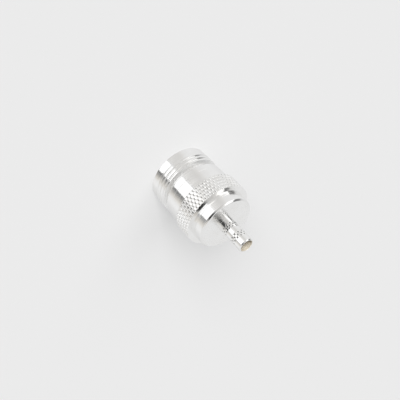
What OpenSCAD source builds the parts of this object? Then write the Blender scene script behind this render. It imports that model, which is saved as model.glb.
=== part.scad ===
// N type cable jack for a crimped coaxial cable.
// It stands on its mating rim: the origin is the centre of the front face
// and +Z runs along the axis to the open end of the crimp stem.
// The threaded shell is pressed into the knurled body, which traps the
// insulator, and the insulator snaps into a groove round the socket contact.

/* [Main sizes] */
// Length of the whole part, from the front rim to the end of the stem
overall_len = 27.15; // [26.8:0.05:30]
// Length from the front rim to the rear face
body_len = 19.35; // [18.2:0.05:20.5]

/* [Threaded front] */
// Major diameter of the coupling thread
thread_d = 15.875; // [15.5:0.005:16.2]
// Pitch of the coupling thread
thread_pitch = 1.058; // [0.9:0.001:1.15]
// Depth of the thread groove
thread_depth = 0.573; // [0.35:0.001:0.6]
// Length of the threaded stretch
thread_len = 3.8; // [3.2:0.05:5]
// Diameter of the plain nose in front of the thread
nose_d = 15.7; // [15:0.05:15.8]
// Length of the plain nose
nose_len = 1.65; // [1.2:0.05:3]
// Chamfer round the front rim
nose_chamfer = 0.2; // [0.05:0.05:0.5]
// Diameter at the bottom of the undercut behind the thread
undercut_d = 14.3; // [13.8:0.05:14.6]
// Width of the undercut
undercut_w = 1.0; // [0.95:0.05:2]
// Diameter of the flange that closes on the knurled body
flange_d = 15.8; // [15.2:0.05:16.2]
// Width of the flange
flange_w = 1.7; // [1:0.05:3]

/* [Knurled body] */
// Diameter of the plain collar
collar_d = 16; // [15.2:0.05:16.6]
// Width of the plain collar
collar_w = 3.35; // [2:0.05:5]
// Diameter over the tips of the knurl
knurl_d = 17.4; // [17:0.05:19]
// Width of the knurled ring
knurl_w = 4.6; // [3:0.1:6]
// Diamonds round the knurled ring
knurl_count = 56; // [40:2:64]
// Rows of pits across the knurled ring
knurl_rows = 5; // [3:1:8]
// Depth of the knurl
knurl_depth = 0.32; // [0.15:0.01:0.4]
// Drop of the bevel at both edges of the knurl
knurl_bevel = 0.3; // [0.15:0.01:0.35]
// Diameter of the smooth barrel behind the knurl
barrel_d = 14.5; // [13.6:0.05:15.4]
// Chamfer round the rear face
barrel_chamfer = 0.38; // [0.1:0.01:0.8]
// Edge break on both sides of the seam and at the collar
edge_break = 0.08; // [0.04:0.01:0.15]

/* [Crimp stem] */
// Outside diameter of the crimp stem
stem_d = 3.96; // [3.8:0.01:4.4]
// Smooth band at the root of the stem
stem_root_w = 1.05; // [0.6:0.05:1.5]
// Width of each knurled band on the stem
stem_knurl_w = 1.68; // [1.2:0.02:2]
// Smooth band between the two knurled bands
stem_gap_w = 1.52; // [0.8:0.02:2]
// Diamonds round the stem
stem_knurl_count = 12; // [8:1:16]
// Rows of pits across each knurled band on the stem
stem_knurl_rows = 3; // [2:1:5]
// Depth of the stem's knurl
stem_knurl_depth = 0.2; // [0.08:0.01:0.22]
// Chamfer outside the stem's open end
stem_chamfer = 0.2; // [0.05:0.01:0.25]
// Bore of the stem, which takes the cable's dielectric
stem_bore_d = 3.12; // [3.1:0.01:3.2]
// Countersink of the stem's mouth
stem_mouth = 0.08; // [0.02:0.01:0.12]

/* [Mating bore] */
// Bore that takes the plug's outer contact
mating_d = 8.08; // [7.8:0.01:8.4]
// Depth of the mating bore to the reference plane
mating_depth = 9.1; // [8.6:0.05:9.6]
// Diameter of the bore at its chamfered mouth
mouth_d = 9; // [8.6:0.05:10]
// Bore of the line section behind the reference plane
line_d = 7; // [6.6:0.01:7.4]
// Length of the line section
line_len = 3; // [2.6:0.05:4]

/* [Press fit and insulator] */
// Diameter of the shell's spigot inside the knurled body
spigot_d = 12.4; // [11.6:0.05:13]
// Length of the spigot behind the seam
spigot_len = 5.5; // [5.3:0.05:6.5]
// Diameter of the insulator's flange
bead_d = 9.6; // [8.8:0.05:10.4]
// Recess of the insulator's front face behind the reference plane
bead_recess = 0.4; // [0.1:0.05:0.8]
// Diameter of the insulator's tail
tail_d = 6.2; // [5.4:0.05:7]
// Length of the insulator's tail behind its flange
tail_len = 2.6; // [2:0.05:3]
// Clear room behind the insulator's tail
cable_room = 1.0; // [0.4:0.05:1.4]

/* [Socket contact] */
// Outside diameter of the contact in front of the insulator
contact_d = 3.04; // [2.9:0.01:3.06]
// Diameter of the contact's seat inside the insulator
seat_d = 2.7; // [2.6:0.01:2.78]
// Setback of the contact's tip behind the front face
contact_setback = 4.3; // [3.6:0.05:5]
// Bore of the socket
socket_d = 1.66; // [1.5:0.01:1.8]
// Depth of the socket's bore
socket_depth = 4.6; // [3.6:0.05:5.2]
// Width of the slots between the socket's four fingers
slot_w = 0.22; // [0.1:0.01:0.25]
// Length of the slots
slot_len = 3.6; // [2:0.05:4.2]
// Depth of the groove that the insulator snaps into
snap_depth = 0.17; // [0.08:0.01:0.25]
// Width of the snap groove
snap_w = 0.8; // [0.4:0.05:1.2]
// Diameter of the rear pot that takes the centre wire
pot_d = 2.4; // [2:0.05:2.55]
// Length of the rear pot
pot_len = 2.9; // [2.2:0.05:3.4]
// Bore of the rear pot
pot_bore_d = 0.96; // [0.8:0.01:1.2]
// Depth of the rear pot's bore
pot_bore_depth = 2.8; // [2:0.05:3.2]
// Diameter of the solder hole in the pot's wall
solder_hole_d = 0.6; // [0.4:0.05:0.7]

/* [Hidden] */
$fn = 96;
turn_steps = 72;
flank = tan(30);

// Places along the axis, from the front face
z_thread = nose_len;
z_undercut = z_thread + thread_len;
z_flange = z_undercut + undercut_w;
z_seam = z_flange + flange_w;
z_knurl = z_seam + collar_w;
z_barrel = z_knurl + knurl_w;
z_face = body_len;
z_end = overall_len;
z_stem_knurl_1 = z_face + stem_root_w;
z_stem_knurl_2 = z_stem_knurl_1 + stem_knurl_w + stem_gap_w;
z_line_end = mating_depth + line_len;
z_spigot = z_seam + spigot_len;
z_bead = mating_depth + bead_recess;
z_tail = z_spigot + tail_len;
z_stem_bore = z_tail + cable_room;
z_tip = contact_setback;
z_snap = z_bead + (z_spigot - z_bead) / 2 - snap_w / 2;
z_pot_end = z_tail;
z_pot = z_pot_end - pot_len;

// One cross-section of the thread cutter, ordered round a trapezoid.
// The groove deepens over its first third of a turn.
function groove_section(i, r_root, r_out, z0) =
    let (
        a = 360 * i / turn_steps,
        grow = min(1, max(0.05, 3 * i / turn_steps)),
        r_low = r_out - grow * (r_out - r_root),
        w_low = thread_pitch / 8,
        w_out = w_low + (r_out - r_low) * flank,
        z = z0 + thread_pitch * i / turn_steps
    )
    [for (p = [[r_low, -w_low], [r_out, -w_out], [r_out, w_out], [r_low, w_low]])
        [p[0] * cos(a), p[0] * sin(a), z + p[1]]];

// Helical cutter that runs from the nose into the undercut
module thread_cutter() {
    r_root = thread_d / 2 - thread_depth;
    r_out = thread_d / 2 + 0.04;
    z0 = z_thread + 0.35;
    z1 = z_undercut + undercut_w / 2;
    steps = floor((z1 - z0) / thread_pitch * turn_steps);
    points = [for (i = [0 : steps]) each groove_section(i, r_root, r_out, z0)];
    sides = [for (i = [0 : steps - 1], k = [0 : 3])
        let (a = 4 * i + k, b = 4 * i + (k + 1) % 4)
        each [[a, b, b + 4], [a, b + 4, a + 4]]];
    caps = [[3, 2, 1, 0], [for (k = [0 : 3]) 4 * steps + k]];
    polyhedron(points = points, faces = concat(sides, caps), convexity = 10);
}

// Ring of diamond pyramids between two bevelled edges.
// Tips and pits alternate round each row and from row to row.
module diamond_ring(r_tip, depth, bevel, z0, width, count, rows, phase) {
    n = 2 * count;
    step = width / rows;
    r_in = r_tip - 2 * depth - bevel;
    zs = concat([0], [for (j = [0 : rows - 1]) (j + 0.5) * step], [width]);
    last = len(zs) - 1;
    outer = [for (j = [0 : last], i = [0 : n - 1])
        let (
            edge = j == 0 || j == last,
            r = edge ? r_tip - bevel : (i + j) % 2 == 0 ? r_tip : r_tip - depth,
            a = phase + 360 * i / n
        )
        [r * cos(a), r * sin(a), z0 + zs[j]]];
    inner = [for (j = [0, last], i = [0 : n - 1])
        let (a = phase + 360 * i / n)
        [r_in * cos(a), r_in * sin(a), z0 + zs[j]]];
    base = n * (last + 1);
    skin = [for (j = [0 : last - 1], i = [0 : n - 1])
        let (
            a = j * n + i,
            b = j * n + (i + 1) % n,
            c = a + n,
            d = b + n
        )
        each (i + j) % 2 == 0 ? [[a, c, b], [b, c, d]] : [[a, c, d], [a, d, b]]];
    ends = [for (i = [0 : n - 1])
        let (k = (i + 1) % n, top = last * n)
        each [[i, k, base + k, base + i],
              [top + i, base + n + i, base + n + k, top + k],
              [base + i, base + k, base + n + k, base + n + i]]];
    polyhedron(points = concat(outer, inner), faces = concat(skin, ends), convexity = 6);
}

// Profile of the shell: outside up to the spigot, then back along the bores
module shell_profile() {
    c = nose_chamfer;
    e = edge_break;
    lead = (mouth_d - mating_d) / 2;
    polygon([
        [mouth_d / 2, 0],
        [nose_d / 2 - c, 0],
        [nose_d / 2, c],
        [nose_d / 2, z_thread],
        [thread_d / 2, z_thread + (thread_d - nose_d) / 2],
        [thread_d / 2, z_undercut - (thread_d - undercut_d) / 2 * flank],
        [undercut_d / 2, z_undercut],
        [undercut_d / 2, z_flange],
        [flange_d / 2 - e, z_flange],
        [flange_d / 2, z_flange + e],
        [flange_d / 2, z_seam - e],
        [flange_d / 2 - e, z_seam],
        [spigot_d / 2, z_seam],
        [spigot_d / 2, z_spigot - 3 * e],
        [spigot_d / 2 - 3 * e, z_spigot],
        [bead_d / 2, z_spigot],
        [bead_d / 2, z_line_end],
        [line_d / 2, z_line_end],
        [line_d / 2, mating_depth],
        [mating_d / 2, mating_depth],
        [mating_d / 2, lead]
    ]);
}

module front_shell() {
    color("gainsboro")
    difference() {
        rotate_extrude() shell_profile();
        thread_cutter();
    }
}

// Profile of the body without its knurls
module body_profile() {
    e = edge_break;
    r_core = knurl_d / 2 - knurl_depth - 0.15;
    r_stem_core = stem_d / 2 - stem_knurl_depth - 0.03;
    c = stem_chamfer;
    polygon([
        [spigot_d / 2, z_seam],
        [collar_d / 2 - e, z_seam],
        [collar_d / 2, z_seam + e],
        [collar_d / 2, z_knurl],
        [r_core, z_knurl],
        [r_core, z_barrel],
        [barrel_d / 2, z_barrel],
        [barrel_d / 2, z_face - barrel_chamfer],
        [barrel_d / 2 - barrel_chamfer, z_face],
        [stem_d / 2, z_face],
        [stem_d / 2, z_stem_knurl_1],
        [r_stem_core, z_stem_knurl_1],
        [r_stem_core, z_stem_knurl_1 + stem_knurl_w],
        [stem_d / 2, z_stem_knurl_1 + stem_knurl_w],
        [stem_d / 2, z_stem_knurl_2],
        [r_stem_core, z_stem_knurl_2],
        [r_stem_core, z_stem_knurl_2 + stem_knurl_w],
        [stem_d / 2, z_stem_knurl_2 + stem_knurl_w],
        [stem_d / 2, z_end - c],
        [stem_d / 2 - c, z_end],
        [stem_bore_d / 2 + stem_mouth, z_end],
        [stem_bore_d / 2, z_end - stem_mouth],
        [stem_bore_d / 2, z_stem_bore],
        [tail_d / 2, z_stem_bore],
        [tail_d / 2, z_spigot],
        [spigot_d / 2, z_spigot]
    ]);
}

module rear_body() {
    color("silver")
    union() {
        rotate_extrude() body_profile();
        diamond_ring(knurl_d / 2, knurl_depth, knurl_bevel, z_knurl, knurl_w,
            knurl_count, knurl_rows, 180 / knurl_count);
        for (z = [z_stem_knurl_1, z_stem_knurl_2])
            diamond_ring(stem_d / 2, stem_knurl_depth, 0.03, z, stem_knurl_w,
                stem_knurl_count, stem_knurl_rows, 6);
    }
}

// White bead that holds the contact on the axis
module insulator() {
    r_hole = seat_d / 2;
    r_snap = r_hole - snap_depth;
    color("white")
    rotate_extrude()
    polygon([
        [r_hole, z_bead],
        [line_d / 2, z_bead],
        [line_d / 2, z_line_end],
        [bead_d / 2, z_line_end],
        [bead_d / 2, z_spigot],
        [tail_d / 2, z_spigot],
        [tail_d / 2, z_tail],
        [r_hole, z_tail],
        [r_hole, z_snap + snap_w],
        [r_snap, z_snap + snap_w],
        [r_snap, z_snap],
        [r_hole, z_snap]
    ]);
}

// Gilt socket with four fingers in front and a pot for the wire behind
module socket_contact() {
    r = contact_d / 2;
    r_seat = seat_d / 2;
    r_snap = r_seat - snap_depth;
    c = 0.15;
    color("gold")
    difference() {
        rotate_extrude()
        polygon([
            [socket_d / 2 + c, z_tip],
            [r - c, z_tip],
            [r, z_tip + c],
            [r, z_bead],
            [r_seat, z_bead],
            [r_seat, z_snap],
            [r_snap, z_snap],
            [r_snap, z_snap + snap_w],
            [r_seat, z_snap + snap_w],
            [r_seat, z_pot],
            [pot_d / 2, z_pot],
            [pot_d / 2, z_pot_end],
            [pot_bore_d / 2, z_pot_end],
            [pot_bore_d / 2, z_pot_end - pot_bore_depth],
            [0, z_pot_end - pot_bore_depth],
            [0, z_tip + socket_depth],
            [socket_d / 2, z_tip + socket_depth],
            [socket_d / 2, z_tip + c]
        ]);
        for (a = [0, 90])
            rotate([0, 0, a])
            translate([-contact_d, -slot_w / 2, z_tip - contact_d])
            cube([2 * contact_d, slot_w, slot_len + contact_d]);
        translate([0, 0, z_pot + pot_len / 2])
        rotate([0, 90, 0])
        cylinder(d = solder_hole_d, h = contact_d, $fn = 32);
    }
}

front_shell();
rear_body();
insulator();
socket_contact();
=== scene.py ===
"""Looks, light and camera for the N type cable jack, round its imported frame.

Sizes are in millimetres and angles in degrees. MM turns millimetres into Blender's metres.
"""

import math

import bmesh
import bpy
from mathutils import Matrix, Vector


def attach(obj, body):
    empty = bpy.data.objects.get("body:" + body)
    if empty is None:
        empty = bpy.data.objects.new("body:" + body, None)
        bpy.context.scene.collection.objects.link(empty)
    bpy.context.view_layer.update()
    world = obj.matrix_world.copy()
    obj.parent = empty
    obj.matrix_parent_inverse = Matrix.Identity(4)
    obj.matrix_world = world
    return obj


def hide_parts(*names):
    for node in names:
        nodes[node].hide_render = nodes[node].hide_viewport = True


MM = 0.001

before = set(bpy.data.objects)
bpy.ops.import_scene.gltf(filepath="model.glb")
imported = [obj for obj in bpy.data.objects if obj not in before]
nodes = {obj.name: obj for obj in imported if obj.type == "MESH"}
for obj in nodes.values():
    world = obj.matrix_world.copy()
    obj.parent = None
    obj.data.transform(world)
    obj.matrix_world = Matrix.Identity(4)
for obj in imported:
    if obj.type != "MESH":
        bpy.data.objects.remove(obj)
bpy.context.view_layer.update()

# Sizes repeated from the part's source. A name in _Z is a height over the mating rim.
NOSE_R = 7.85
MOUTH_R = 4.5
MOUTH_DEPTH = 0.46
MATING_R = 4.04
REFERENCE_Z = 9.1
LINE_R = 3.5
LINE_Z = 12.1
THREAD_R = 15.875 / 2
THREAD_PITCH = 1.058
THREAD_Z = 1.65
UNDERCUT_Z = 5.45
UNDERCUT_R = 7.15
FLANGE_Z = 6.45
FLANGE_R = 7.9
SEAM_Z = 8.15
SPIGOT_R = 6.2
SPIGOT_Z = 13.65
SPIGOT_LEAD = 0.24
BEAD_R = 4.8
TAIL_R = 3.1
COLLAR_R = 8.0
KNURL_Z = 11.5
KNURL_W = 4.6
KNURL_R = 8.7
BARREL_Z = 16.1
BARREL_R = 7.25
BARREL_CHAMFER = 0.38
FACE_Z = 19.35
END_Z = 27.15
STEM_R = 1.98
STEM_KNURLS = (20.4, 23.6)
STEM_KNURL_W = 1.68
STEM_CHAMFER = 0.2
CABLE_R = 1.56
CABLE_Z = 17.25
CABLE_MOUTH = 0.08

# Finish that only the scene has
THREAD_CUT = 0.3        # depth of the thread's groove, shallower than in the source
THREAD_OPEN = 0.27      # half the groove's width
THREAD_LEAD = 0.35      # plain metal before the first groove
THREAD_GROWTH = 1.2     # share of its depth that the groove gains in a turn
LEAD_IN_SLOPE = 0.1     # rise of the nose into the thread
RUN_OUT_ANGLE = 30      # angle of the thread's far end from a flat end
RELIEF_LENGTH = 0.5     # end of the thread that shares the undercut's dull finish
KNURL_BEVEL = 0.05      # drop of the knurled ring at its edges
KNURL_SEAT = 0.45       # depth of the body's groove that the knurled ring fills
STEM_SEAT = 0.22        # depth of the grooves that the stem's knurls fill
SEAT_MARGIN = 0.01      # keeps the wide groove's walls off the ring's edges
FLARE_R = 0.15          # rise of the barrel towards its shoulder
FLARE_STEPS = 8         # steps in that rise, which is a millimetre long

AROUND = 288            # sides of every turned mesh
SHARP_ANGLE = 28        # edges over this angle stay crisp
FILLET_STEPS = 4
FILLET_MARGIN = 0.03    # distance from a fillet to the point that supports it
PLANE_MARGIN = 0.01     # faces this near to a plane lie in it
STEM_MARGIN = 0.1       # faces this near to the stem belong to it


# ---------------------------------------------------------------- mesh helpers

def add_mesh(name, points, faces, sharp=SHARP_ANGLE):
    """An object from points in millimetres. Edges over the sharp angle stay crisp."""
    mesh = bpy.data.meshes.new(name)
    mesh.from_pydata([(x * MM, y * MM, z * MM) for x, y, z in points], [], faces)
    mesh.update()
    mesh.shade_smooth()
    mesh.set_sharp_from_angle(angle=math.radians(sharp))
    piece = bpy.data.objects.new(name, mesh)
    bpy.context.scene.collection.objects.link(piece)
    return piece


def on_circle(r, angle, z):
    """A point at a radius, an angle in radians and a height."""
    return (r * math.cos(angle), r * math.sin(angle), z)


def ring_faces(rings, around, closed=False):
    """Quads between rings of points. Closed joins the last ring to the first."""
    faces = []
    for j in range(rings if closed else rings - 1):
        low = j * around
        high = (j + 1) % rings * around
        for i in range(around):
            k = (i + 1) % around
            faces.append((low + i, low + k, high + k, high + i))
    return faces


def rounded(profile):
    """A profile of (r, z) or (r, z, fillet) points with each filleted corner turned into an arc.
    A point beside each end of the arc keeps the shading of the straight parts straight."""
    out = []
    count = len(profile)
    for i, point in enumerate(profile):
        here = Vector(point[:2])
        fillet = point[2] if len(point) > 2 else 0
        if not fillet:
            out.append((here.x, here.y))
            continue
        to_last = (Vector(profile[i - 1][:2]) - here).normalized()
        to_next = (Vector(profile[(i + 1) % count][:2]) - here).normalized()
        half = to_last.angle(to_next) / 2
        reach = fillet / math.tan(half)
        centre = here + (to_last + to_next).normalized() * (fillet / math.sin(half))
        first = here + to_last * reach - centre
        last = here + to_next * reach - centre
        out.append(tuple(here + to_last * (reach + FILLET_MARGIN)))
        for k in range(FILLET_STEPS + 1):
            arm = first.lerp(last, k / FILLET_STEPS)
            arm = arm.normalized() * fillet
            out.append((centre.x + arm.x, centre.y + arm.y))
        out.append(tuple(here + to_next * (reach + FILLET_MARGIN)))
    return out


def turned(name, profile, closed=True):
    """A turned piece from its profile, which runs round the metal."""
    points = [on_circle(r, 2 * math.pi * i / AROUND, z) for r, z in profile for i in range(AROUND)]
    return add_mesh(name, points, ring_faces(len(profile), AROUND, closed))


def dress(piece, slot, *materials):
    """Give a piece its materials and tie it to the part's body. slot is not used."""
    piece.data.materials.clear()
    for material in materials:
        piece.data.materials.append(material)
    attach(piece, "root")
    return piece


# ---------------------------------------------------------------- material helpers

def node(tree, kind, **values):
    made = tree.nodes.new(kind)
    for key, value in values.items():
        setattr(made, key, value)
    return made


def join(tree, source, target):
    tree.links.new(source, target)


def math_node(tree, operation, first, second=None):
    """An operation on one or two values, each a number or a socket."""
    made = node(tree, "ShaderNodeMath", operation=operation)
    for slot, value in enumerate((first, second)):
        if value is None:
            continue
        if isinstance(value, (int, float)):
            made.inputs[slot].default_value = value
        else:
            join(tree, value, made.inputs[slot])
    return made.outputs[0]


def remap(tree, value, low, high, to_low, to_high):
    """The value moved from one range to another and clamped there."""
    made = node(tree, "ShaderNodeMapRange")
    join(tree, value, made.inputs["Value"])
    made.inputs["From Min"].default_value = low
    made.inputs["From Max"].default_value = high
    made.inputs["To Min"].default_value = to_low
    made.inputs["To Max"].default_value = to_high
    return made.outputs["Result"]


def noise(tree, place, scale, detail):
    made = node(tree, "ShaderNodeTexNoise", noise_dimensions="3D")
    made.inputs["Scale"].default_value = scale
    made.inputs["Detail"].default_value = detail
    join(tree, place, made.inputs["Vector"])
    return made.outputs["Fac"]


def ring_noise(tree, along, scale, detail):
    """Noise that changes along one value only, for turning marks."""
    made = node(tree, "ShaderNodeTexNoise", noise_dimensions="1D")
    made.inputs["Scale"].default_value = scale
    made.inputs["Detail"].default_value = detail
    join(tree, along, made.inputs["W"])
    return made.outputs["Fac"]


def mix_colour(tree, factor, first, second):
    """A blend of two colours, each a tuple or a socket."""
    made = node(tree, "ShaderNodeMix", data_type="RGBA")
    join(tree, factor, made.inputs["Factor"])
    for slot, value in (("A", first), ("B", second)):
        if isinstance(value, tuple):
            made.inputs[slot].default_value = (*value, 1)
        else:
            join(tree, value, made.inputs[slot])
    return made.outputs["Result"]


def new_material(name):
    """A material with its node tree and its shader."""
    material = bpy.data.materials.new(name)
    material.use_nodes = True
    return material, material.node_tree, material.node_tree.nodes["Principled BSDF"]


def place_on_part(tree):
    """Sockets for the place, for its distance from the axis and for its height."""
    place = node(tree, "ShaderNodeTexCoord").outputs["Object"]
    split = node(tree, "ShaderNodeSeparateXYZ")
    join(tree, place, split.inputs[0])
    x, y, z = split.outputs
    radius = math_node(tree, "SQRT", math_node(
        tree, "ADD", math_node(tree, "MULTIPLY", x, x), math_node(tree, "MULTIPLY", y, y)))
    return place, radius, z


def add_marks(tree, shader, height, depth):
    """Bump from a height, of which 1 stands for depth millimetres."""
    bump = node(tree, "ShaderNodeBump")
    bump.inputs["Strength"].default_value = 1
    bump.inputs["Distance"].default_value = depth * MM
    join(tree, height, bump.inputs["Height"])
    join(tree, bump.outputs[0], shader.inputs["Normal"])


# ---------------------------------------------------------------- materials

BRIGHT = (0.96, 0.96, 0.955)            # silver plate where it is bright
SMOOTH_DULL = (0.93, 0.925, 0.915)      # where it has dulled on a smooth face
CUT_DULL = (0.92, 0.915, 0.9)           # and on a cut or knurled one
# painted shade: a dark grey put at the bottom of a knurl's pit, where shade falls
PIT_PAINTED_SHADE = (0.18, 0.18, 0.18)           # at the bottom of a knurl's pits
LINING_METALLIC = 0.2
MARK_SIZE = 0.11                        # width of the fine turning marks
CONE_SHIFT = 1.37                       # share of the radius, so that flat faces have marks too
CLOUD_SCALE = 380                       # per metre, as are the other scales
SMEAR_SCALE = 900
WAX_CLOUD_SCALE = 700
WAX_RING_SCALE = 6000
WAX_MARKS = 0.004


def turned_metal(name, light, dark, roughness, marks, painted_pit_shade=None):
    """Turned and plated metal: fine turning marks, faint clouding in its colour and its polish.
    light and dark are the plate's colour where it is bright and where it has dulled,
    roughness its least and most, marks the depth of the turning marks in millimetres.
    The last argument gives the radii between which painted shade, a dark grey standing in for the
    shade at the bottom of a knurl's pit, fades up into the plate's colour."""
    material, tree, shader = new_material(name)
    shader.inputs["Metallic"].default_value = 1
    place, radius, z = place_on_part(tree)
    along = math_node(tree, "ADD", z, math_node(tree, "MULTIPLY", radius, CONE_SHIFT))

    clouds = noise(tree, place, CLOUD_SCALE, 4)
    plate = mix_colour(tree, remap(tree, clouds, 0.35, 0.7, 0, 1), light, dark)
    if painted_pit_shade:
        # painted shade: dark grey at the bottom of a knurl's pit, where shade falls, fading into
        # the plate's colour towards the top of the pit
        clear = remap(tree, radius, painted_pit_shade[0] * MM, painted_pit_shade[1] * MM, 0, 1)
        plate = mix_colour(tree, clear, PIT_PAINTED_SHADE, plate)
    join(tree, plate, shader.inputs["Base Color"])

    # some rings are duller than the polish between them
    fine = ring_noise(tree, along, 1 / (MARK_SIZE * MM), 3)
    coarse = ring_noise(tree, along, 0.5 / (MARK_SIZE * MM), 2)
    rings = remap(tree, coarse, 0.5, 0.62, 0, 1)
    smears = remap(tree, noise(tree, place, SMEAR_SCALE, 3), 0.3, 0.75, 0, 1)
    dull = math_node(tree, "MULTIPLY", rings, math_node(tree, "ADD", smears, 0.5))
    join(tree, remap(tree, dull, 0, 1.2, *roughness), shader.inputs["Roughness"])

    height = math_node(tree, "ADD", math_node(tree, "MULTIPLY", fine, 0.35), rings)
    add_marks(tree, shader, height, marks)
    return material


def waxy(name):
    """White fluoropolymer: waxy, slightly see-through, with faint turning marks."""
    material, tree, shader = new_material(name)
    shader.inputs["Subsurface Weight"].default_value = 0.25
    shader.inputs["Subsurface Radius"].default_value = (0.0006, 0.0006, 0.0006)
    shader.inputs["IOR"].default_value = 1.37
    place, radius, z = place_on_part(tree)
    clouds = noise(tree, place, WAX_CLOUD_SCALE, 4)
    colour = mix_colour(tree, clouds, (0.9, 0.9, 0.88), (0.84, 0.84, 0.81))
    join(tree, colour, shader.inputs["Base Color"])
    join(tree, remap(tree, clouds, 0.3, 0.7, 0.38, 0.55), shader.inputs["Roughness"])
    rings = ring_noise(tree, math_node(tree, "ADD", z, radius), WAX_RING_SCALE, 2)
    add_marks(tree, shader, rings, WAX_MARKS)
    return material


silver = turned_metal("silver_plate", BRIGHT, SMOOTH_DULL, (0.03, 0.2), 0.0042)
faced = turned_metal("silver_face", BRIGHT, SMOOTH_DULL, (0.2, 0.3), 0.0006)
cut_thread = turned_metal("silver_thread", BRIGHT, CUT_DULL, (0.12, 0.26), 0.0004)
# painted shade darkens the bottom of each pit of the knurled ring
knurled = turned_metal("silver_knurl", BRIGHT, CUT_DULL, (0.04, 0.12), 0.0003,
                       painted_pit_shade=(KNURL_R - 0.23, KNURL_R - 0.13))
stem_silver = turned_metal("silver_stem", BRIGHT, CUT_DULL, (0.04, 0.12), 0.0003)
# painted shade darkens the bottom of each pit of the stem's knurls too
stem_knurled = turned_metal("stem_knurl", BRIGHT, CUT_DULL, (0.04, 0.12), 0.0003,
                            painted_pit_shade=(STEM_R - 0.09, STEM_R - 0.03))
relief = turned_metal("silver_relief", BRIGHT, CUT_DULL, (0.4, 0.5), 0.0006)
lining = turned_metal("bore_lining", (0.56, 0.51, 0.42), (0.5, 0.455, 0.375), (0.35, 0.45), 0.001)
lining.node_tree.nodes["Principled BSDF"].inputs["Metallic"].default_value = LINING_METALLIC
gold = turned_metal("gold_plate", (0.96, 0.74, 0.36), (0.9, 0.66, 0.29), (0.12, 0.22), 0.0005)
wax = waxy("white_insulator")


# ---------------------------------------------------------------- threaded shell

THREAD_STEPS = 36       # grid steps in a pitch
THREAD_SHARP = 40
MERGE_DISTANCE = 1e-7   # in metres


def thread_radius(degrees, z):
    """Radius of the thread: a true right-hand helix that deepens over its first turn, with the
    shallow round groove that plating leaves."""
    start = THREAD_Z + THREAD_LEAD
    turns = (z - start) / THREAD_PITCH - degrees / 360
    nearest = round(turns)
    offset = abs(turns - nearest) * THREAD_PITCH
    grow = min(1.0, max(0.0, THREAD_GROWTH * (nearest + degrees / 360)))
    cut = 0.5 + 0.5 * math.cos(math.pi * min(1.0, offset / THREAD_OPEN))
    groove = THREAD_R - THREAD_CUT * grow * cut
    lead_in = NOSE_R + LEAD_IN_SLOPE * (z - THREAD_Z)
    run_out = UNDERCUT_R + (UNDERCUT_Z - z) / math.tan(math.radians(RUN_OUT_ANGLE))
    return max(UNDERCUT_R, min(groove, lead_in, run_out, THREAD_R))


def thread_mesh():
    """The thread on a grid that climbs with the helix, cut off at both ends."""
    rows = THREAD_STEPS + math.ceil((UNDERCUT_Z - THREAD_Z) / THREAD_PITCH * THREAD_STEPS)
    points = []
    for j in range(rows + 1):
        for i in range(AROUND):
            z = THREAD_Z + THREAD_PITCH * (j / THREAD_STEPS - 1 + i / AROUND)
            z = min(UNDERCUT_Z, max(THREAD_Z, z))
            r = thread_radius(360 * i / AROUND, z)
            points.append(on_circle(r, 2 * math.pi * i / AROUND, z))
    faces = []
    for j in range(rows):
        for i in range(AROUND):
            low = j * AROUND + i
            # the last column meets the first one a whole turn further on
            side = low + 1 if i < AROUND - 1 else (j + THREAD_STEPS) * AROUND
            face = (low, side, side + AROUND, low + AROUND)
            if max(face) < len(points) and len({points[k][2] for k in face}) > 1:
                faces.append(face)
    piece = add_mesh("thread", points, faces, THREAD_SHARP)
    merge = bmesh.new()
    merge.from_mesh(piece.data)
    bmesh.ops.remove_doubles(merge, verts=merge.verts, dist=MERGE_DISTANCE)
    bmesh.ops.delete(merge, geom=[v for v in merge.verts if not v.link_faces], context="VERTS")
    merge.to_mesh(piece.data)
    merge.free()
    return piece


thread = thread_mesh()
dress(thread, "silver_plate_shell", cut_thread, relief)
for face in thread.data.polygons:
    if face.center.z / MM > UNDERCUT_Z - RELIEF_LENGTH:
        face.material_index = 1

shell = turned("shell", rounded([
    (UNDERCUT_R, UNDERCUT_Z),
    (UNDERCUT_R, FLANGE_Z, 0.5),
    (FLANGE_R, FLANGE_Z, 0.07),
    (FLANGE_R, SEAM_Z, 0.08),
    (SPIGOT_R, SEAM_Z),
    (SPIGOT_R, SPIGOT_Z - SPIGOT_LEAD),
    (SPIGOT_R - SPIGOT_LEAD, SPIGOT_Z),
    (BEAD_R, SPIGOT_Z),
    (BEAD_R, LINE_Z),
    (LINE_R, LINE_Z),
    (LINE_R, REFERENCE_Z),
    (MATING_R, REFERENCE_Z),
    (MATING_R, MOUTH_DEPTH),
    (MOUTH_R, 0, 0.06),
    (NOSE_R, 0, 0.2),
    (NOSE_R, THREAD_Z),
]), closed=False)
dress(shell, "silver_plate_shell", silver, relief)
for face in shell.data.polygons:
    if UNDERCUT_Z < face.center.z / MM < FLANGE_Z - PLANE_MARGIN:
        face.material_index = 1
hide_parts("front_shell")


# ---------------------------------------------------------------- knurled body

FLAT_SHARE = 0.7        # share of a diamond that is flat on top
GROOVE_SHARE = 0.3      # and share that slopes into the groove
KNURL_SHARP = 22


def groove_distances(u, w):
    """Nearness to the grooves of either hand: 0 at a diamond's middle and 1 in the groove."""
    return tuple(2 * abs(p - round(p)) for p in (u + w, u - w))


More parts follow.
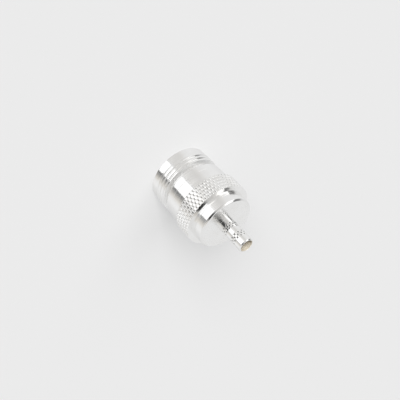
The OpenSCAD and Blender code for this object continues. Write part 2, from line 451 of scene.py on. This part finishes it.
def knurl(name, metal, tip_r, depth, pit_depth, z0, width, count, rows, phase, pit_edge,
          bevel, cuts):
    """A ring of flat-topped diamonds between two bevelled edges, whose grid follows the grooves.
    depth is the grooves' own, and pit_depth is what their crossings add from pit_edge on.
    cuts is the number of grid steps across a diamond."""
    step = width / rows
    around = count * cuts
    levels = rows * cuts // 2 + 1

    def radius(degrees, z):
        near, far = groove_distances((degrees - phase) * count / 360, ((z - z0) / step - 0.5) / 2)
        cut = depth * max(0.0, max(near, far) - FLAT_SHARE) / GROOVE_SHARE
        pit = pit_depth * max(0.0, min(near, far) - pit_edge) / (1 - pit_edge)
        edge = max(0.0, bevel - min(z - z0, z0 + width - z))
        return tip_r - max(cut + pit, edge)

    points = []
    for j in range(levels):
        z = z0 + step * j * 2 / cuts
        for i in range(around):
            degrees = phase + 360 * i / around
            points.append(on_circle(radius(degrees, z), math.radians(degrees), z))
    faces = []
    for number, (a, b, d, c) in enumerate(ring_faces(levels, around)):
        j, i = divmod(number, around)
        near, far = groove_distances((i + 0.5) / cuts, ((j + 0.5) * 2 / cuts - 0.5) / 2)
        # each square is split along the groove that is nearer
        if near > far:
            faces += [(a, b, c), (b, d, c)]
        else:
            faces += [(a, b, d), (a, d, c)]
    return dress(add_mesh(name, points, faces, KNURL_SHARP), "silver_plate_body", metal)


def stem_seat(low):
    """Profile of the groove in the stem that one of its knurls fills."""
    high = low + STEM_KNURL_W
    return [(STEM_R, low), (STEM_R - STEM_SEAT, low), (STEM_R - STEM_SEAT, high), (STEM_R, high)]


knurl("knurl_ring", knurled, tip_r=KNURL_R, depth=0.11, pit_depth=0.14, z0=KNURL_Z,
      width=KNURL_W, count=56, rows=5, phase=0, pit_edge=0.6, bevel=KNURL_BEVEL, cuts=16)
for number, low in enumerate(STEM_KNURLS):
    knurl("stem_knurl_%d" % (number + 1), stem_knurled, tip_r=STEM_R, depth=0.03,
          pit_depth=0.13, z0=low, width=STEM_KNURL_W, count=12, rows=3, phase=21,
          pit_edge=0.45, bevel=0.02, cuts=24)

# the barrel flares a little into its shoulder
flare = [(BARREL_R + FLARE_R * (1 - k / FLARE_STEPS) ** 2, BARREL_Z + k / FLARE_STEPS)
         for k in range(FLARE_STEPS + 1)]

body = turned("body", rounded([
    (SPIGOT_R, SEAM_Z),
    (COLLAR_R, SEAM_Z, 0.08),
    (COLLAR_R, KNURL_Z),
    (KNURL_R - KNURL_BEVEL, KNURL_Z),
    (KNURL_R - KNURL_SEAT, KNURL_Z + SEAT_MARGIN),
    (KNURL_R - KNURL_SEAT, BARREL_Z - SEAT_MARGIN),
    (KNURL_R - KNURL_BEVEL, BARREL_Z),
    *flare,
    (BARREL_R, FACE_Z - BARREL_CHAMFER, 0.25),
    (BARREL_R - BARREL_CHAMFER, FACE_Z, 0.25),
    (STEM_R, FACE_Z, 0.08),
    *stem_seat(STEM_KNURLS[0]),
    *stem_seat(STEM_KNURLS[1]),
    (STEM_R, END_Z - STEM_CHAMFER, 0.05),
    (STEM_R - STEM_CHAMFER, END_Z, 0.04),
    (CABLE_R + CABLE_MOUTH, END_Z),
    (CABLE_R, END_Z - CABLE_MOUTH),
    (CABLE_R, CABLE_Z),
    (TAIL_R, CABLE_Z),
    (TAIL_R, SPIGOT_Z),
    (SPIGOT_R, SPIGOT_Z),
]))
dress(body, "silver_plate_body", silver, lining, faced, stem_silver)
for face in body.data.polygons:
    middle = face.center / MM
    reach = math.hypot(middle.x, middle.y)
    if reach < CABLE_R + CABLE_MOUTH / 2:
        face.material_index = 1
    elif reach < STEM_R + STEM_MARGIN and middle.z > FACE_Z:
        face.material_index = 3
    elif abs(middle.z - FACE_Z) < PLANE_MARGIN:
        face.material_index = 2
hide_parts("rear_body")

for name, material in (("insulator", wax), ("socket_contact", gold)):
    nodes[name].data.materials.clear()
    nodes[name].data.materials.append(material)


# ---------------------------------------------------------------- light tent

# brightness of the tent's lower and upper wall, as (azimuth, level) stops
LOW_WALL = [(-90, 0.72), (-60, 0.78), (0, 0.84), (25, 0.8), (50, 0.69), (85, 0.71), (134, 0.8),
            (160, 0.8), (186, 0.88), (215, 0.76), (240, 0.68), (270, 0.72)]
HIGH_WALL = [(-90, 0.8), (-50, 0.78), (-34, 0.7), (34, 0.72), (60, 0.6), (150, 0.6),
             (175, 0.8), (240, 0.78), (270, 0.8)]
# and of what stands in front of it: each pair's flag and softbox, the studio and the lamp
LOW_FLAG = 0.17
LOW_BOX = 1.2
HIGH_FLAG = 0.22
HIGH_BOX = 1.25
STUDIO = 0.04
LAMP = 1.1

TENT_R = 500
TENT_Z = 13
TENT_AROUND = 360
TENT_RINGS = 91


def direction(azimuth, polar):
    """Unit vector at an azimuth from +X and a polar angle from +Z, in degrees."""
    a = math.radians(azimuth)
    p = math.radians(polar)
    return Vector((math.sin(p) * math.cos(a), math.sin(p) * math.sin(a), math.cos(p)))


def smooth(value, low, high):
    """0 below low, 1 above high and a soft step between them."""
    t = min(1.0, max(0.0, (value - low) / (high - low)))
    return t * t * (3 - 2 * t)


def span(value, low, high, soft_low, soft_high):
    """1 between two edges. Each is a soft step that reaches its softness to either side."""
    return (smooth(value, low - soft_low, low + soft_low)
            * (1 - smooth(value, high - soft_high, high + soft_high)))


def between(value, stops):
    """Smooth value on a line of (place, level) stops."""
    for (a, low), (b, high) in zip(stops, stops[1:]):
        if a <= value <= b:
            return low + (high - low) * smooth(value, a, b)
    return stops[-1][1]


def tent_level(azimuth, polar):
    """Brightness of the light tent in a direction. A softbox and a black flag stand at the
    camera's left, below the part's waist, and a second pair over its right shoulder."""
    low = between(azimuth, LOW_WALL)
    high = between(azimuth, HIGH_WALL)
    level = high + (low - high) * smooth(polar, 80, 100)
    # black flag beside the softbox, soft on its far side and weaker in its upper part
    flag = span(azimuth, 134, 153, 1, 18) * smooth(polar, 84, 96)
    flag *= 0.4 + 0.6 * smooth(polar, 118.4, 119.6)
    level += (LOW_FLAG - level) * flag
    # softbox, with a slanted near edge that only the turning marks reach
    reach = 26 * (1 - smooth(polar, 114, 119.5)) * smooth(polar, 104, 110)
    box = span(azimuth, 90.5 - reach, 134, 1 + reach / 2, 1) * span(polar, 86, 152, 3, 3)
    level += (LOW_BOX - level) * box
    # dark studio behind the camera, seen by what faces up
    studio = span(azimuth, 92, 142, 16, 8) * span(polar, 22, 82, 6, 4)
    level += (STUDIO - level) * studio
    # second flag and softbox, leaning
    lean = 8 * smooth(polar, 60, 92)
    flag = span(azimuth, lean - 30, lean - 3, 7, 3) * span(polar, 22, 98, 5, 9)
    level += (HIGH_FLAG - level) * flag
    box = span(azimuth, lean - 2, lean + 32, 2, 3) * span(polar, 22, 100, 5, 4)
    level += (HIGH_BOX - level) * box
    # lamp overhead
    level += (LAMP - level) * (1 - smooth(polar, 9, 15))
    return level


def light_tent():
    """A sphere that only reflections see, and whose glow is tent_level."""
    points = []
    colours = []
    for j in range(TENT_RINGS):
        polar = 180 * (j + 0.5) / TENT_RINGS
        for i in range(TENT_AROUND):
            azimuth = -90 + 360 * i / TENT_AROUND
            points.append(direction(azimuth, polar) * TENT_R)
            level = tent_level(azimuth, polar)
            warm = 0.03 * span(azimuth, 30, 85, 10, 5) + 0.09 * span(azimuth, 146, 168, 8, 8)
            colours += (level, level * (1 - 0.4 * warm), level * (1 - warm), 1)
    tent = add_mesh("light_tent", points, ring_faces(TENT_RINGS, TENT_AROUND))
    glow = tent.data.attributes.new("glow", "FLOAT_COLOR", "POINT")
    glow.data.foreach_set("color", colours)
    material = bpy.data.materials.new("light_tent")
    material.use_nodes = True
    material.cycles.emission_sampling = "NONE"
    tree = material.node_tree
    tree.nodes.clear()
    level = node(tree, "ShaderNodeAttribute", attribute_name="glow")
    emission = node(tree, "ShaderNodeEmission")
    join(tree, level.outputs["Color"], emission.inputs["Color"])
    out = node(tree, "ShaderNodeOutputMaterial")
    join(tree, emission.outputs[0], out.inputs["Surface"])
    tent.data.materials.append(material)
    tent.visible_camera = False
    tent.visible_diffuse = False
    tent.visible_shadow = False
    tent.visible_transmission = False
    tent.location = (0, 0, TENT_Z * MM)


light_tent()


# ---------------------------------------------------------------- floor and lamps

FLOOR_HALF = 900
FLOOR_GREY = 0.42
FLOOR_GLOW = 0.42       # seen by the camera alone, so that it doesn't light the part
FLOOR_ROUGHNESS = 0.9
WORLD_STRENGTH = 0.25

floor_corners = [(x * FLOOR_HALF, y * FLOOR_HALF, 0)
                 for x, y in ((-1, -1), (1, -1), (1, 1), (-1, 1))]
floor = add_mesh("floor", floor_corners, [(0, 1, 2, 3)])
paint, paint_tree, paint_shader = new_material("floor")
paint_shader.inputs["Base Color"].default_value = (FLOOR_GREY, FLOOR_GREY, FLOOR_GREY, 1)
paint_shader.inputs["Emission Color"].default_value = (1, 1, 1, 1)
seen = node(paint_tree, "ShaderNodeLightPath").outputs["Is Camera Ray"]
join(paint_tree, math_node(paint_tree, "MULTIPLY", seen, FLOOR_GLOW),
     paint_shader.inputs["Emission Strength"])
paint_shader.inputs["Roughness"].default_value = FLOOR_ROUGHNESS
paint_shader.inputs["Specular IOR Level"].default_value = 0
floor.data.materials.append(paint)
floor.visible_glossy = False

world = bpy.data.worlds.new("studio")
bpy.context.scene.world = world
world.use_nodes = True
world.node_tree.nodes["Background"].inputs["Color"].default_value = (1, 1, 1, 1)
world.node_tree.nodes["Background"].inputs["Strength"].default_value = WORLD_STRENGTH


def sun(name, azimuth, polar, angle, strength):
    """A soft far lamp. The metal mirrors the tent in its place."""
    data = bpy.data.lights.new(name, "SUN")
    data.angle = math.radians(angle)
    data.energy = strength
    piece = bpy.data.objects.new(name, data)
    bpy.context.scene.collection.objects.link(piece)
    piece.rotation_euler = direction(azimuth, polar).to_track_quat("Z", "Y").to_euler()
    piece.visible_glossy = False


sun("key", azimuth=82, polar=67, angle=26, strength=3.9)
sun("fill", azimuth=45, polar=54, angle=50, strength=1.3)


# ---------------------------------------------------------------- camera

LENS = 73.349
SENSOR_WIDTH = 36
CLIP_START = 0.005      # in metres
CAMERA_PLACE = (-0.651, 166.459, 111.176)
PICTURE_RIGHT = (0.73210, -0.35455, 0.58165)
PICTURE_UP = (0.68119, 0.38105, -0.62512)

lens = bpy.data.cameras.new("camera")
lens.lens = LENS
lens.sensor_width = SENSOR_WIDTH
lens.clip_start = CLIP_START
camera = bpy.data.objects.new("camera", lens)
bpy.context.scene.collection.objects.link(camera)
right = Vector(PICTURE_RIGHT).normalized()
back = right.cross(Vector(PICTURE_UP)).normalized()
turn = Matrix((right, back.cross(right), back)).transposed().to_4x4()
camera.matrix_world = Matrix.Translation(Vector(CAMERA_PLACE) * MM) @ turn
bpy.context.scene.camera = camera

bpy.context.scene.view_settings.view_transform = "Standard"
